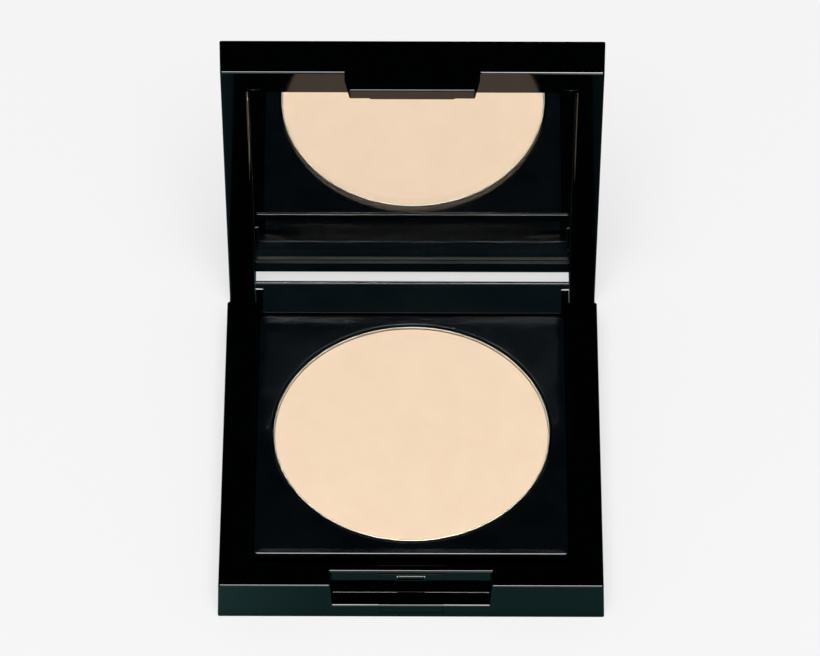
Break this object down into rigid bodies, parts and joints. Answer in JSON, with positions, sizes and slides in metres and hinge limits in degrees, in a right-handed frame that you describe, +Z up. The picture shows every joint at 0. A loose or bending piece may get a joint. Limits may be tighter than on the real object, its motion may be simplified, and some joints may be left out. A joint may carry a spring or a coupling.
{
  "type": "powder compact",
  "caption": "Square black pressed-powder compact: a hinged lid with an inset mirror over a base that holds a round metal pan of powder, with a snap catch in front.",
  "frame": {"origin": "on the flat underside, at the middle of the base's 60 mm square", "axes": "+X to the user's right, +Y towards the hinge, +Z up"},
  "size_m": [0.0604, 0.0707, 0.0601],
  "materials": {
    "gloss_black": "polished black injection moulding with a faint cool sheen",
    "satin_black": "fine-grained satin black moulding",
    "pan_aluminium": "bright drawn aluminium, thin turned rim",
    "pressed_powder": "dead matt pressed powder, warm ivory",
    "pin_steel": "bright drawn wire",
    "mirror_glass": "clear float glass with ground edges",
    "silvering": "silvered back with grey protective paint",
    "foam_tape": "white foam double-sided tape",
    "glue": "set hot-melt glue",
    "label": "plain satin sticker with nothing printed on it"
  },
  "bodies": {
    "base": {"base_shell": "gloss_black", "pan_carrier": "satin_black", "pan_glue_disc": "glue", "powder_pan": "pan_aluminium", "powder_cake": "pressed_powder", "underside_label": "label", "hinge_pin_right": "pin_steel", "hinge_pin_left": "pin_steel"},
    "lid": {"lid_cover": "gloss_black", "mirror_glass": "mirror_glass", "mirror_silvering": "silvering", "mirror_tape_right": "foam_tape", "mirror_tape_left": "foam_tape", "mirror_carrier": "satin_black"},
    "latch": {"latch_tongue": "gloss_black"}
  },
  "joints": [
    {"name": "lid_hinge", "type": "hinge", "parent": "base", "child": "lid", "pos_m": [0, 0.02795, 0.0015], "axis": [1, 0, 0], "range_deg": [0, 86.5]},
    {"name": "latch_flex", "type": "hinge", "parent": "base", "child": "latch", "pos_m": [0, -0.0294, 0.0021], "axis": [-1, 0, 0], "range_deg": [0, 3], "stiffness_Nm_per_rad": 0.25}
  ]
}
